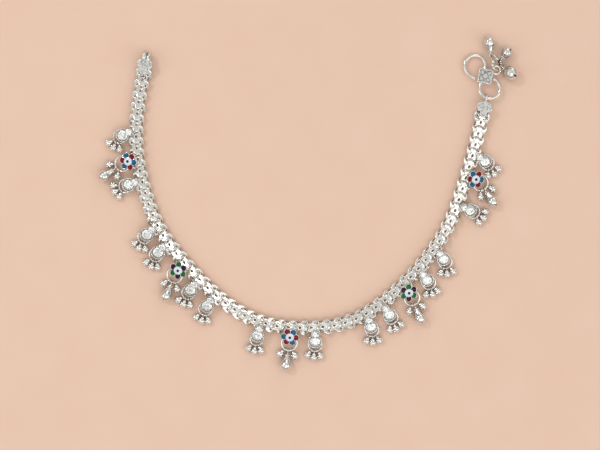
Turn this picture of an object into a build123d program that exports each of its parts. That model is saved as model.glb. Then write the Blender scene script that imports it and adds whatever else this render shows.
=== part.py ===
from build123d import *

import os
from math import acos, asin, atan2, cos, degrees, hypot, radians, sin

# Payal anklet in silver, lying open and unfastened. Millimetres, +Z up, the cloth is Z = 0.
# X and Y are the plan of the anklet as it lies, with both ends towards +Y.

os.makedirs("parts", exist_ok=True)

# --- chain: three rows of round wire links, each middle link through four side links ---
PITCH = 4.24              # spacing of the links along a row
PAIRS = 57                # pairs of side links, the first and the last soldered to the caps
WIRE = 0.76               # wire thickness of a link
SIDE_HALF_LENGTH = 2.06   # centre line of a side link, along the chain
SIDE_HALF_WIDTH = 1.187
SIDE_OFFSET = 1.632       # side row's distance from the middle of the chain
SIDE_LEAN = 33.4          # side links lean one way
MIDDLE_HALF_LENGTH = 2.848
MIDDLE_HALF_WIDTH = 1.79
MIDDLE_LEAN = -20.8       # middle links lean the other way
CHAIN_MID = 1.53          # height of the chain's middle plane

# --- route of the chain on the cloth: each row is a bend 4 pitches long ---
START_X, START_Y, START_HEADING = -61.0, 47.97, 258.0
BEND_PITCHES = 4
BENDS = (7, 15, 10, 19, 5, 15, 25, 13, 27, 11, 10, 16, 3, 4)  # degrees to the left

# --- pendants: station in pitches, heading of the head, heading of its drops ---
PLAIN_PENDANTS = (
    (5.1, 203, 238),
    (9.4, 199, 207),
    (13.6, 222, 242),
    (15.3, 228, 246),
    (19.5, 232, 246),
    (21.4, 237, 252),
    (26.1, 255, 259),
    (30.8, 270, 264),
    (35.4, 290, 274),
    (37.1, 302, 295),
    (41.4, 307, 288),
    (43.7, 305, 280),
    (48.0, 337, 330),
    (52.6, 324, 304),
)
FLOWER_PENDANTS = (
    (7.5, 199, 213),
    (17.6, 233, 247),
    (28.7, 264, 261),
    (39.5, 303, 292),
    (50.7, 327, 304),
)
SEAT_HEIGHT = 3.38        # underside of a pendant's head over the outer row
HEAD_THICKNESS, RELIEF = 0.6, 0.25
RING_WIRE, RING_Z = 0.64, 0.25     # ring of a pendant, soldered to its plate's edge
PLAIN_TILT = 17.0         # the heads slope from the chain down to the cloth
FLOWER_TILT = 15.6
LEAF_R = 1.55             # broad end of the leaf
PLAIN_RING_X, PLAIN_RING_R = 4.95, 2.43
FLOWER_RING_X, FLOWER_RING_R = 4.25, 2.85
PLATE_X, PLATE_R = 3.4, 2.5
FLOWER_X, PETAL_OUT, PETAL_R, CENTRE_R = 1.6, 2.1, 1.02, 1.5

# --- drops and bells: sizes, and how far they hang from their ring ---
LOOP_OF_DROP_R, LOOP_OF_DROP_WIRE = 0.64, 0.32
SMALL_BEAD_R, SMALL_BALL_X, SMALL_BALL_R = 0.7, 2.35, 1.08
LARGE_BEAD_R, LARGE_BALL_X, LARGE_BALL_R = 0.75, 2.5, 1.2
LOOP_OF_BELL_R, LOOP_OF_BELL_WIRE = 0.72, 0.40
FLOWER_BELL_X, FLOWER_BELL_R = 5.4, 2.05
BELL_WALL, BELL_SLIT = 0.4, 0.55
BELL_SHOULDER = 38.0      # where the neck's curve meets the round end, from its widest line
DROP_FAN = 31.0           # angle between the three drops of a plain pendant
SIDE_DROP_FAN = 31.0      # the flower's two drops stand either side of its bell
OFF_CLOTH = 0.02          # a drop's ball over the cloth
BELL_OFF_CLOTH = 0.2      # a bell's seam is a little prouder than its round end

# --- clasp ---
HOOK_X, HOOK_Y = 65.0, 46.99       # middle of the hook's plate
HOOK_WIRE = 1.24
HOOK_HEIGHT = 1.95                 # centre line of the hook's wire where the bail holds it
HOOK_TILT = 3.6                    # the free end of the hook lies lower
OPEN_X, OPEN_Y, OPEN_R = -3.70, 4.07, 3.80     # open ring of the S, from the plate's middle
CLOSED_X, CLOSED_Y, CLOSED_R = 1.70, -4.44, 3.75
EYE_X, EYE_Y, EYE_Z, EYE_R, EYE_WIRE = 4.05, 2.28, 0.5, 1.50, 0.70
BAIL_R, BAIL_WIRE = 1.50, 0.80
LOOP_R, LOOP_WIRE = 1.60, 1.50


def route_place(distance: float, side: float = 0.0, height: float = 0.0) -> Location:
    """Place on the chain's route: X runs along the chain and Y to its inner side."""
    x, y, heading = START_X, START_Y, START_HEADING
    left = distance
    bend_length = BEND_PITCHES * PITCH
    for bend in BENDS:
        length = min(left, bend_length)
        turn = bend * length / bend_length
        half = radians(turn / 2)
        chord = length * sin(half) / half if abs(half) > 1e-9 else length
        x += chord * cos(radians(heading) + half)
        y += chord * sin(radians(heading) + half)
        heading += turn
        left -= length
        if left <= 0:
            break
    x += left * cos(radians(heading))
    y += left * sin(radians(heading))
    return Location((x, y, 0), (0, 0, heading)) * Location((0, side, height))


def turned(heading: float, tilt: float = 0.0) -> Location:
    """Turn by a heading about Z, then tip the X axis down by tilt degrees."""
    return Location((0, 0, 0), (0, 0, heading)) * Location((0, 0, 0), (0, tilt, 0))


def add_dome(x: float, y: float, z: float, base_r: float, height: float) -> None:
    """Add a low spherical dome that stands on the plane at height z."""
    radius = (base_r**2 + height**2) / (2 * height)
    latitude = degrees(asin((radius - height) / radius))
    with Locations((x, y, z)):
        Sphere(radius, arc_size1=latitude, align=(Align.CENTER, Align.CENTER, Align.MIN))


# ---------------------------------------------------------------- chain
def make_link(half_length: float, half_width: float) -> Part:
    """One oval link of round wire, lying flat."""
    with BuildPart() as link:
        with BuildLine() as ring:
            EllipticalCenterArc((0, 0), half_length, half_width, start_angle=0, arc_size=360)
        with BuildSketch(Plane(origin=(half_length, 0, 0), z_dir=(0, 1, 0))):
            Circle(WIRE / 2)
        sweep(path=ring.line)
    return link.part


def side_places(first: int, last: int) -> list:
    """Places of the side links of the pairs first to last."""
    lean = Location((0, 0, 0), (0, SIDE_LEAN, 0))
    return [
        route_place(pair * PITCH, side, CHAIN_MID) * lean
        for pair in range(first, last + 1)
        for side in (SIDE_OFFSET, -SIDE_OFFSET)
    ]


def middle_places(first: int, last: int) -> list:
    """Places of the middle links that follow the pairs first to last."""
    lean = Location((0, 0, 0), (0, MIDDLE_LEAN, 0))
    return [
        route_place((pair + 0.5) * PITCH, 0, CHAIN_MID) * lean
        for pair in range(first, last + 1)
    ]


side_link = make_link(SIDE_HALF_LENGTH, SIDE_HALF_WIDTH)
middle_link = make_link(MIDDLE_HALF_LENGTH, MIDDLE_HALF_WIDTH)
HALF_WAY = PAIRS // 2

with BuildPart() as chain_left:
    with Locations(*side_places(1, HALF_WAY)):
        add(side_link)
    with Locations(*middle_places(0, HALF_WAY - 1)):
        add(middle_link)
chain_left.part.label = "chain_left"
export_step(chain_left.part, "parts/chain_left.step")

with BuildPart() as chain_right:
    with Locations(*side_places(HALF_WAY + 1, PAIRS - 2)):
        add(side_link)
    with Locations(*middle_places(HALF_WAY, PAIRS - 2)):
        add(middle_link)
chain_right.part.label = "chain_right"
export_step(chain_right.part, "parts/chain_right.step")


# ---------------------------------------------------------------- end caps
CAP_UNDER = 3.24          # underside of a cap's plate, clear of the links under it
CAP_THICKNESS = 0.75
LOBE_X, LOBE_Y, LOBE_R = 3.45, 1.12, 1.75
TONGUE_X, TONGUE_R = 0.55, 1.05


def make_cap_plate() -> Part:
    """Cast trefoil plate: two lobes away from the chain, a tongue over its last links."""
    with BuildPart() as plate:
        with BuildSketch(Plane.XY.offset(CAP_UNDER)):
            with BuildSketch(mode=Mode.PRIVATE) as tongue:
                with Locations((TONGUE_X, 0)):
                    Circle(TONGUE_R)
                with Locations((LOBE_X, 0)):
                    Circle(LOBE_R)
                make_hull()
            add(tongue.sketch)
            with Locations((LOBE_X, LOBE_Y), (LOBE_X, -LOBE_Y)):
                Circle(LOBE_R)
        extrude(amount=CAP_THICKNESS)
        top_edges = plate.faces().sort_by(Axis.Z)[-1].edges()
        fillet(top_edges, radius=0.25)
        # raised grains of the casting, a rosette on each lobe and a row down the tongue
        grain_spots = [(TONGUE_X + 0.1, 0), (TONGUE_X + 1.25, 0)]
        for lobe in (LOBE_Y + 0.05, -LOBE_Y - 0.05):
            grain_spots.append((LOBE_X, lobe))
            for step in range(5):
                angle = radians(72 * step)
                grain_spots.append((LOBE_X + 0.95 * cos(angle), lobe + 0.95 * sin(angle)))
        with Locations(*[(x, y, CAP_UNDER + CAP_THICKNESS) for x, y in grain_spots]):
            Sphere(0.3)
    return plate.part


def make_cap(solder_low: float, link_high: float) -> Part:
    """Cap with X away from the chain, its solder block from solder_low and its end links.

    link_high is +1 where the end links' outer ends stand high and -1 where they lie low.
    """
    with BuildPart() as cap:
        add(make_cap_plate())
        # solder under the plate, clear of the middle link that runs up to it
        block_height = CAP_UNDER + 0.2 - solder_low
        with Locations((2.45, 0, solder_low + block_height / 2)):
            Box(1.5, 4.3, block_height)
        # the last pair of side links is soldered into the block
        lean = Location((0, 0, 0), (0, -link_high * SIDE_LEAN, 0))
        places = [Location((0, side, CHAIN_MID)) * lean for side in (SIDE_OFFSET, -SIDE_OFFSET)]
        with Locations(*places):
            add(side_link)
    return cap.part


def make_left_cap() -> Part:
    """Left end: the cap and the double upright loop that the hook closes on."""
    with BuildPart() as cap:
        add(make_cap(1.75, 1))
        with Locations((4.3, 0, CAP_UNDER - 0.5)):
            Box(1.6, 2.6, 1.5)
        with Locations(Location((6.3, 0.8, LOOP_R + LOOP_WIRE / 2), (90, 0, 0))):
            Torus(LOOP_R, LOOP_WIRE / 2)
        with Locations(Location((6.0, -0.8, LOOP_R + LOOP_WIRE / 2 - 0.05), (90, 0, 0))):
            Torus(LOOP_R - 0.15, LOOP_WIRE / 2 - 0.05)
    return cap.part


def make_right_cap() -> Part:
    """Right end: the cap and the round bail that holds the hook."""
    with BuildPart() as cap:
        add(make_cap(0.25, -1))
        with Locations((BAIL_X - 2.35, 0, CAP_UNDER - 0.25)):
            Box(2.3, 1.3, 1.0)
        with Locations(Location((BAIL_X, 0, HOOK_HEIGHT), (90, 0, 0))):
            Torus(BAIL_R, BAIL_WIRE / 2)
    return cap.part


BAIL_X = 6.95             # bail's middle, beyond the last pair of side links

with BuildPart() as cap_left:
    with Locations(route_place(0) * turned(180)):
        add(make_left_cap())
cap_left.part.label = "cap_left"
export_step(cap_left.part, "parts/cap_left.step")

with BuildPart() as cap_right:
    with Locations(route_place((PAIRS - 1) * PITCH)):
        add(make_right_cap())
cap_right.part.label = "cap_right"
export_step(cap_right.part, "parts/cap_right.step")


# ---------------------------------------------------------------- hook of the clasp
PLATE_SIDE, PLATE_THICKNESS = 5.4, 0.9
TIP_R, TIP_START, TIP_END = 6.20, 200.0, 246.0  # flatter bend that leads to the open tip
CLOSED_END = 65.3                               # where the closed ring meets the plate again


def make_s_wire() -> Part:
    """S shaped wire: an open ring, a straight crossing and a closed ring."""
    apart_x, apart_y = CLOSED_X - OPEN_X, CLOSED_Y - OPEN_Y
    swing = degrees(acos((OPEN_R + CLOSED_R) / hypot(apart_x, apart_y)))
    leave = degrees(atan2(apart_y, apart_x)) + swing
    arrive = leave + 180
    tip_back = OPEN_R - TIP_R
    tip_centre = (
        OPEN_X + tip_back * cos(radians(TIP_START)),
        OPEN_Y + tip_back * sin(radians(TIP_START)),
    )
    with BuildPart() as wire:
        with BuildLine() as path:
            tip = CenterArc(tip_centre, TIP_R, TIP_END, TIP_START - TIP_END)
            open_ring = CenterArc((OPEN_X, OPEN_Y), OPEN_R, TIP_START, leave - TIP_START)
            closed_ring = CenterArc((CLOSED_X, CLOSED_Y), CLOSED_R, arrive, 360 + CLOSED_END - arrive)
            Line(open_ring @ 1, closed_ring @ 0)
        with BuildSketch(Plane(origin=tip @ 0, z_dir=tip % 0)):
            Circle(HOOK_WIRE / 2)
        sweep(path=path.wires()[0])
        with Locations(tip @ 0, closed_ring @ 1):
            Sphere(HOOK_WIRE / 2)
    return wire.part


def make_hook() -> Part:
    """The S wire with its embossed plate and side eye, soldered as one piece."""
    with BuildPart() as hook:
        add(make_s_wire())
        with BuildSketch(Plane.XY.offset(0.2)):
            RectangleRounded(PLATE_SIDE, PLATE_SIDE, 0.7, rotation=-12)
        extrude(amount=PLATE_THICKNESS)
        # raised lozenge and four leaves on the plate
        with BuildSketch(Plane.XY.offset(0.2 + PLATE_THICKNESS)):
            RectangleRounded(1.7, 1.7, 0.3, rotation=33)
            with PolarLocations(1.75, 4, start_angle=33):
                Ellipse(0.75, 0.42)
            with PolarLocations(2.35, 4, start_angle=78):
                Circle(0.36)
        extrude(amount=0.3)
        # side eye that carries the bells
        with Locations((EYE_X, EYE_Y, EYE_Z)):
            Torus(EYE_R, EYE_WIRE / 2)
    return hook.part


# the hook hangs by its closed ring, where the bail goes round the wire
HANG_ANGLE, HANG_HEADING = 245.5, 122.0
HANG_DX = CLOSED_X + CLOSED_R * cos(radians(HANG_ANGLE))
HANG_DY = CLOSED_Y + CLOSED_R * sin(radians(HANG_ANGLE))
hook_place = (
    Location((HOOK_X + HANG_DX, HOOK_Y + HANG_DY, HOOK_HEIGHT))
    * turned(HANG_HEADING, HOOK_TILT)
    * turned(-HANG_HEADING)
    * Location((-HANG_DX, -HANG_DY, 0))
)

with BuildPart() as s_hook:
    with Locations(hook_place):
        add(make_hook())
s_hook.part.label = "s_hook"
export_step(s_hook.part, "parts/s_hook.step")


# ---------------------------------------------------------------- rings, drops and bells
GAP = 0.14                # between a ring's wire and the loop that hangs on it


def make_drop(bead_r: float, ball_x: float, ball_r: float) -> Part:
    """A small drop along X: the ring's wire runs through its upright loop at the origin."""
    hold = RING_WIRE / 2 + GAP
    loop_x = LOOP_OF_DROP_R - LOOP_OF_DROP_WIRE / 2 - hold
    with BuildPart() as drop:
        with BuildSketch(Plane.XY):
            with Locations((hold + bead_r, 0)):
                Circle(bead_r)
            with Locations((ball_x, 0)):
                Circle(ball_r)
            with Locations((ball_x, 0)):
                Rectangle(9, 4, align=(Align.CENTER, Align.MAX), mode=Mode.SUBTRACT)
        revolve(axis=Axis.X)
        with Locations(Location((loop_x, 0, 0), (90, 0, 0))):
            Torus(LOOP_OF_DROP_R, LOOP_OF_DROP_WIRE / 2)
    return drop.part


def make_bell(length: float, radius: float, hold: float) -> Part:
    """A hollow pear shaped bell along X, its loop round the origin, its slit at the far end."""
    loop_x = LOOP_OF_BELL_R - LOOP_OF_BELL_WIRE / 2 - hold
    neck_x = loop_x + LOOP_OF_BELL_R
    slope = radians(BELL_SHOULDER)
    shoulder = (length - radius * sin(slope), radius * cos(slope))
    neck_end = (neck_x + 0.55, 0.46)
    with BuildPart() as bell:
        with BuildSketch(Plane.XY):
            with BuildLine():
                Line((length + radius, 0), (neck_x - 0.05, 0))
                Line((neck_x - 0.05, 0), (neck_x - 0.05, 0.42))
                Line((neck_x - 0.05, 0.42), neck_end)
                Spline(neck_end, shoulder, tangents=((1, 0.55), (cos(slope), sin(slope))))
                CenterArc((length, 0), radius, 90 + BELL_SHOULDER, -90 - BELL_SHOULDER)
            make_face()
            # seam where the two halves are joined, then the hollow inside
            with Locations((length, radius - 0.02)):
                Circle(0.14)
            with Locations((length, 0)):
                Circle(radius - BELL_WALL, mode=Mode.SUBTRACT)
        revolve(axis=Axis.X)
        # slit
        with Locations((length + radius, 0, 0)):
            Box(2 * BELL_WALL + 1.1, BELL_SLIT, 1.44 * radius, mode=Mode.SUBTRACT)
        with Locations(Location((loop_x, 0, 0), (90, 0, 0))):
            Torus(LOOP_OF_BELL_R, LOOP_OF_BELL_WIRE / 2)
    return bell.part


def aimed(point: Vector, tangent: Vector, heading: float, length: float, rest: float) -> Location:
    """Place a drop at point on a ring whose wire runs along tangent.

    Its X has the given heading and reaches the height rest at length along it, and its loop
    stands square across the wire.
    """
    fall = asin((point.Z - rest) / length)
    direction = Vector(
        cos(fall) * cos(radians(heading)), cos(fall) * sin(radians(heading)), -sin(fall)
    )
    across = (tangent - direction * tangent.dot(direction)).normalized()
    return Plane(origin=point, x_dir=direction, z_dir=direction.cross(across)).location


# ---------------------------------------------------------------- pendants
def make_plain_head() -> Part:
    """Leaf, embossed round plate and ring, soldered as one; X points away from the chain."""
    with BuildPart() as head:
        with BuildSketch():
            with BuildSketch(mode=Mode.PRIVATE) as leaf:
                with Locations((-0.35, 0)):
                    Circle(0.55)
                with Locations((0.85, 0)):
                    Circle(LEAF_R)
                make_hull()
            add(leaf.sketch)
            with Locations((PLATE_X, 0)):
                Circle(PLATE_R)
        extrude(amount=HEAD_THICKNESS)
        # raised veins of the leaf and the petals, rim and boss of the plate
        with BuildSketch(Plane.XY.offset(HEAD_THICKNESS)):
            with Locations((0.35, 0)):
                Ellipse(0.75, 0.28)
            with Locations((0.75, 0.72), (0.75, -0.72)):
                Ellipse(0.5, 0.22)
            with Locations((PLATE_X, 0)):
                with PolarLocations(1.4, 8):
                    Ellipse(0.62, 0.36)
        extrude(amount=RELIEF)
        with BuildSketch(Plane.XY.offset(HEAD_THICKNESS)):
            with Locations((PLATE_X, 0)):
                Circle(PLATE_R - 0.02)
                Circle(PLATE_R - 0.3, mode=Mode.SUBTRACT)
        extrude(amount=RELIEF)
        add_dome(PLATE_X, 0, HEAD_THICKNESS, 0.7, 0.45)
        with Locations((PLAIN_RING_X, 0, RING_Z)):
            Torus(PLAIN_RING_R, RING_WIRE / 2)
    return head.part


def make_flower_head() -> Part:
    """Six petalled flower with a domed centre on a ring, soldered as one."""
    petals = [(60 * step + 30) for step in range(6)]
    with BuildPart() as head:
        with BuildSketch():
            with Locations((FLOWER_X, 0)):
                Circle(2.3)
                with PolarLocations(PETAL_OUT, 6, start_angle=petals[0]):
                    Circle(PETAL_R)
        extrude(amount=HEAD_THICKNESS)
        # a low dome on each petal and a higher one in the middle
        for angle in petals:
            x = FLOWER_X + PETAL_OUT * cos(radians(angle))
            y = PETAL_OUT * sin(radians(angle))
            add_dome(x, y, HEAD_THICKNESS, 0.9, 0.3)
        add_dome(FLOWER_X, 0, HEAD_THICKNESS, CENTRE_R, 0.95)
        with Locations((FLOWER_RING_X, 0, RING_Z)):
            Torus(FLOWER_RING_R, RING_WIRE / 2)
    return head.part


def head_place(station: float, heading: float, tilt: float) -> Location:
    """Seat of a pendant's head over the outer row of the chain."""
    seat = route_place(station * PITCH, -SIDE_OFFSET, SEAT_HEIGHT).position
    return Location((seat.X, seat.Y, seat.Z)) * turned(heading, tilt)


def ring_point(place: Location, ring_x: float, ring_r: float, angle: float) -> tuple:
    """Point and tangent on a head's ring, angle measured from the head's own X."""
    a = radians(angle)
    x, y = ring_x + ring_r * cos(a), ring_r * sin(a)
    at = place * Location((x, y, RING_Z))
    ahead = place * Location((x - sin(a), y + cos(a), RING_Z))
    return at.position, ahead.position - at.position


def drop_place(place: Location, ring: tuple, angle: float, heading: float, length: float, rest: float):
    """Place of a drop that hangs at angle on a head's ring and lies on the cloth beyond it."""
    point, tangent = ring_point(place, ring[0], ring[1], angle)
    return aimed(point, tangent, heading, length, rest)


plain_head = make_plain_head()
flower_head = make_flower_head()
small_drop = make_drop(SMALL_BEAD_R, SMALL_BALL_X, SMALL_BALL_R)
large_drop = make_drop(LARGE_BEAD_R, LARGE_BALL_X, LARGE_BALL_R)
flower_bell = make_bell(FLOWER_BELL_X, FLOWER_BELL_R, RING_WIRE / 2 + GAP)
PLAIN_RING = (PLAIN_RING_X, PLAIN_RING_R)
FLOWER_RING = (FLOWER_RING_X, FLOWER_RING_R)
SMALL_REST = SMALL_BALL_R + OFF_CLOTH
LARGE_REST = LARGE_BALL_R + OFF_CLOTH

for number, (station, heading, hang) in enumerate(PLAIN_PENDANTS, start=1):
    place = head_place(station, heading, PLAIN_TILT)
    with BuildPart() as plain_pendant:
        with Locations(place):
            add(plain_head)
    plain_pendant.part.label = f"plain_pendant_{number:02d}"
    export_step(plain_pendant.part, f"parts/plain_pendant_{number:02d}.step")
    middle = hang - heading
    fans = (middle - DROP_FAN, middle, middle + DROP_FAN)
    places = [
        drop_place(place, PLAIN_RING, fan, heading + fan, SMALL_BALL_X, SMALL_REST) for fan in fans
    ]
    with BuildPart() as plain_drops:
        with Locations(*places):
            add(small_drop)
    plain_drops.part.label = f"plain_drops_{number:02d}"
    export_step(plain_drops.part, f"parts/plain_drops_{number:02d}.step")

for number, (station, heading, hang) in enumerate(FLOWER_PENDANTS, start=1):
    place = head_place(station, heading, FLOWER_TILT)
    with BuildPart() as flower_pendant:
        with Locations(place):
            add(flower_head)
    flower_pendant.part.label = f"flower_pendant_{number}"
    export_step(flower_pendant.part, f"parts/flower_pendant_{number}.step")
    middle = hang - heading
    fans = (middle - SIDE_DROP_FAN, middle + SIDE_DROP_FAN)
    places = [
        drop_place(place, FLOWER_RING, fan, heading + fan, LARGE_BALL_X, LARGE_REST) for fan in fans
    ]
    with BuildPart() as flower_drops:
        with Locations(*places):
            add(large_drop)
    flower_drops.part.label = f"flower_drops_{number}"
    export_step(flower_drops.part, f"parts/flower_drops_{number}.step")
    with BuildPart() as flower_bell_node:
        bell_rest = FLOWER_BELL_R + BELL_OFF_CLOTH
        with Locations(drop_place(place, FLOWER_RING, middle, hang, FLOWER_BELL_X, bell_rest)):
            add(flower_bell)
    flower_bell_node.part.label = f"flower_bell_{number}"
    export_step(flower_bell_node.part, f"parts/flower_bell_{number}.step")


# ---------------------------------------------------------------- bells of the clasp
JUMP_R, JUMP_WIRE, JUMP_TILT, JUMP_HEADING = 2.0, 0.56, 32.0, 85.0
LINK_R, LINK_WIRE = 1.4, 0.5


def spin(axis: Vector, other: Vector, angle: float) -> Vector:
    """Unit vector at angle degrees from axis towards other, both of length one."""
    return axis * cos(radians(angle)) + other * sin(radians(angle))


def ring_spot(centre: Vector, along: Vector, across: Vector, radius: float, angle: float) -> tuple:
    """Point and tangent of a ring that lies in the plane of along and across."""
    return centre + spin(along, across, angle) * radius, spin(across, along * -1, angle)


eye = (hook_place * Location((EYE_X, EYE_Y, EYE_Z))).position
out = Vector(cos(radians(JUMP_HEADING)), sin(radians(JUMP_HEADING)), 0)
side = Vector(-out.Y * cos(radians(JUMP_TILT)), out.X * cos(radians(JUMP_TILT)), sin(radians(JUMP_TILT)))
jump_centre = eye + out * (JUMP_R + 0.05)

with BuildPart() as bell_ring:
    with Locations(Plane(origin=jump_centre, x_dir=out, z_dir=out.cross(side)).location):
        Torus(JUMP_R, JUMP_WIRE / 2)
bell_ring.part.label = "bell_ring"
export_step(bell_ring.part, "parts/bell_ring.step")

# a second, smaller ring hangs from the far left of the jump ring
held, held_tangent = ring_spot(jump_centre, out, side, JUMP_R, 32)
outward = spin(out, side, 32)
lean_down = spin(outward, out.cross(side) * -1, 35)
link_across = held_tangent.cross(lean_down).normalized()
link_centre = held + lean_down * 0.68
with BuildPart() as bell_link:
    with Locations(Plane(origin=link_centre, x_dir=lean_down, z_dir=held_tangent).location):
        Torus(LINK_R, LINK_WIRE / 2)
bell_link.part.label = "bell_link"
export_step(bell_link.part, "parts/bell_link.step")

BELL_HOLD = JUMP_WIRE / 2 + 0.24
long_bell = make_bell(4.9, 2.1, BELL_HOLD)
short_bell = make_bell(4.1, 1.95, BELL_HOLD)
round_bell = make_bell(4.8, 2.6, BELL_HOLD)

far_left, far_tangent = ring_spot(link_centre, lean_down, link_across, LINK_R, 0)
far_right, right_tangent = ring_spot(jump_centre, out, side, JUMP_R, -40)
low_right, low_tangent = ring_spot(jump_centre, out, side, JUMP_R, -98)
# shape, point on its ring, tangent there, heading, length to the round end and its radius
CLASP_BELLS = (
    (long_bell, far_left, far_tangent, 99, 4.9, 2.1),
    (short_bell, far_right, right_tangent, 50, 4.1, 1.95),
    (round_bell, low_right, low_tangent, -38, 4.8, 2.6),
)
for number, (shape, spot, tangent, heading, length, radius) in enumerate(CLASP_BELLS, start=1):
    with BuildPart() as clasp_bell:
        with Locations(aimed(spot, tangent, heading, length, radius + BELL_OFF_CLOTH)):
            add(shape)
    clasp_bell.part.label = f"clasp_bell_{number}"
    export_step(clasp_bell.part, f"parts/clasp_bell_{number}.step")
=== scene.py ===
"""Looks of a silver payal anklet that lies open: finishes, enamel, beading and bell pellets.

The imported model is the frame. Pieces made here are modelled in millimetres and settled into
the frame in metres. Everything rides on the one body, because the anklet has no joints.
"""

from __future__ import annotations

import logging
import math
from collections.abc import Callable, Iterable
from dataclasses import dataclass, field
from enum import Enum

import bmesh
import bpy
from mathutils import Matrix, Vector

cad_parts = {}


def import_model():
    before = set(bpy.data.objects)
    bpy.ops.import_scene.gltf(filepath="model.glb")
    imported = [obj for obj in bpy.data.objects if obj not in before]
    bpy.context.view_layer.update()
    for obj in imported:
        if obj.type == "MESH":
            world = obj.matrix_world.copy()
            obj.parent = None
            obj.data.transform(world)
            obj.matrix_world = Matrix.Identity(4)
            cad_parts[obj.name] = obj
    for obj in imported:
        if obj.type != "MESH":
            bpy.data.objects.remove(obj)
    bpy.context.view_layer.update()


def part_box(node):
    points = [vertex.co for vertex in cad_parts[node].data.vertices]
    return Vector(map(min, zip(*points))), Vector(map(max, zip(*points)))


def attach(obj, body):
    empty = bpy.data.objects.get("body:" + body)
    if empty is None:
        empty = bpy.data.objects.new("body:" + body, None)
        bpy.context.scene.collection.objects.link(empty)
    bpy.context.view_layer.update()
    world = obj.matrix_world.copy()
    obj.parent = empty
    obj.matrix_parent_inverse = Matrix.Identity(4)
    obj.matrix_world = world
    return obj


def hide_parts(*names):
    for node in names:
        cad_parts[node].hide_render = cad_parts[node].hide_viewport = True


MM = 0.001
BODY = "root"
NEARLY_UP = 0.9
LEVEL = 0.99
AT_MIDDLE = 0.01
BEVEL_ANGLE = math.radians(50)
log = logging.getLogger("payal")


# ------------------------------------------------------------------ small tools
def linear(hex_colour: str) -> tuple[float, float, float, float]:
    """Turn an sRGB hex colour into Blender's linear colour.

    Args:
        hex_colour: colour such as "#E9E6DF".

    Returns:
        Red, green, blue and an alpha of one.
    """
    channels = [int(hex_colour[i : i + 2], 16) / 255 for i in (1, 3, 5)]
    made = [c / 12.92 if c <= 0.04045 else ((c + 0.055) / 1.055) ** 2.4 for c in channels]
    return (made[0], made[1], made[2], 1.0)


def add_node(
    tree: bpy.types.NodeTree, kind: str, settings: dict | None = None, inputs: dict | None = None
) -> bpy.types.Node:
    """Add a shader node with its settings and links.

    Args:
        tree: node tree that gets the node.
        kind: Blender's type name of the node.
        settings: attributes of the node and their values.
        inputs: socket name or number to a value, or to the output socket that feeds it.

    Returns:
        The new node.
    """
    made = tree.nodes.new(kind)
    for name, value in (settings or {}).items():
        setattr(made, name, value)
    for socket, value in (inputs or {}).items():
        if isinstance(value, bpy.types.NodeSocket):
            tree.links.new(value, made.inputs[socket])
        else:
            made.inputs[socket].default_value = value
    return made


def blend(
    tree: bpy.types.NodeTree,
    factor: bpy.types.NodeSocket,
    first: object,
    second: object,
) -> bpy.types.NodeSocket:
    """Add a node that mixes two colours.

    Args:
        tree: node tree that gets the node.
        factor: socket that says how much of the second colour shows.
        first: a colour, or the socket that gives it.
        second: the other colour, or its socket.

    Returns:
        The socket of the mixed colour.
    """
    inputs = {0: factor, 6: first, 7: second}
    return add_node(tree, "ShaderNodeMix", {"data_type": "RGBA"}, inputs).outputs[2]


def blank(name: str) -> bpy.types.Material:
    """Add a material whose node tree is empty.

    Args:
        name: name of the material.

    Returns:
        The new material.
    """
    made = bpy.data.materials.new(name)
    made.use_nodes = True
    made.node_tree.nodes.clear()
    return made


def deselect() -> None:
    """Leave edit mode and deselect every object."""
    if bpy.context.object and bpy.context.object.mode != "OBJECT":
        bpy.ops.object.mode_set(mode="OBJECT")
    bpy.ops.object.select_all(action="DESELECT")


def open_edit(piece: bpy.types.Object) -> None:
    """Make one piece the selected and active one and enter edit mode.

    Args:
        piece: mesh object to edit, by its faces.
    """
    deselect()
    piece.select_set(True)
    bpy.context.view_layer.objects.active = piece
    bpy.ops.object.mode_set(mode="EDIT")
    bpy.ops.mesh.select_mode(type="FACE")


def pick_faces(piece: bpy.types.Object, test: Callable[[Vector, Vector], bool]) -> None:
    """Select in edit mode the faces that pass a test.

    Args:
        piece: mesh object in edit mode.
        test: called with each face's centre and normal.
    """
    mesh = bmesh.from_edit_mesh(piece.data)
    bpy.ops.mesh.select_all(action="DESELECT")
    for face in mesh.faces:
        face.select_set(test(face.calc_center_median(), face.normal))
    mesh.select_flush_mode()
    bmesh.update_edit_mesh(piece.data)


def pick_points(piece: bpy.types.Object, test: Callable[[Vector], bool]) -> None:
    """Select in edit mode the corners that pass a test.

    Args:
        piece: mesh object in edit mode.
        test: called with each corner's place.
    """
    bpy.ops.mesh.select_mode(type="VERT")
    mesh = bmesh.from_edit_mesh(piece.data)
    bpy.ops.mesh.select_all(action="DESELECT")
    for corner in mesh.verts:
        corner.select_set(test(corner.co))
    mesh.select_flush_mode()
    bmesh.update_edit_mesh(piece.data)


def upward(centre: Vector, normal: Vector) -> bool:
    """Tell whether a face looks up and lies on top."""
    return normal.z > NEARLY_UP and centre.z > 0


def apply_modifier(piece: bpy.types.Object, kind: str, **settings: object) -> None:
    """Add a modifier and apply it.

    Args:
        piece: mesh object that it changes.
        kind: Blender's type name of the modifier.
        **settings: attributes of the modifier and their values.
    """
    deselect()
    piece.select_set(True)
    bpy.context.view_layer.objects.active = piece
    made = piece.modifiers.new(kind.title(), kind)
    for name, value in settings.items():
        setattr(made, name, value)
    bpy.ops.object.modifier_apply(modifier=made.name)


def round_edges(piece: bpy.types.Object, width: float) -> None:
    """Round a piece's sharp edges off by a width in millimetres."""
    apply_modifier(
        piece, "BEVEL", width=width, segments=2, limit_method="ANGLE", angle_limit=BEVEL_ANGLE
    )


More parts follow.
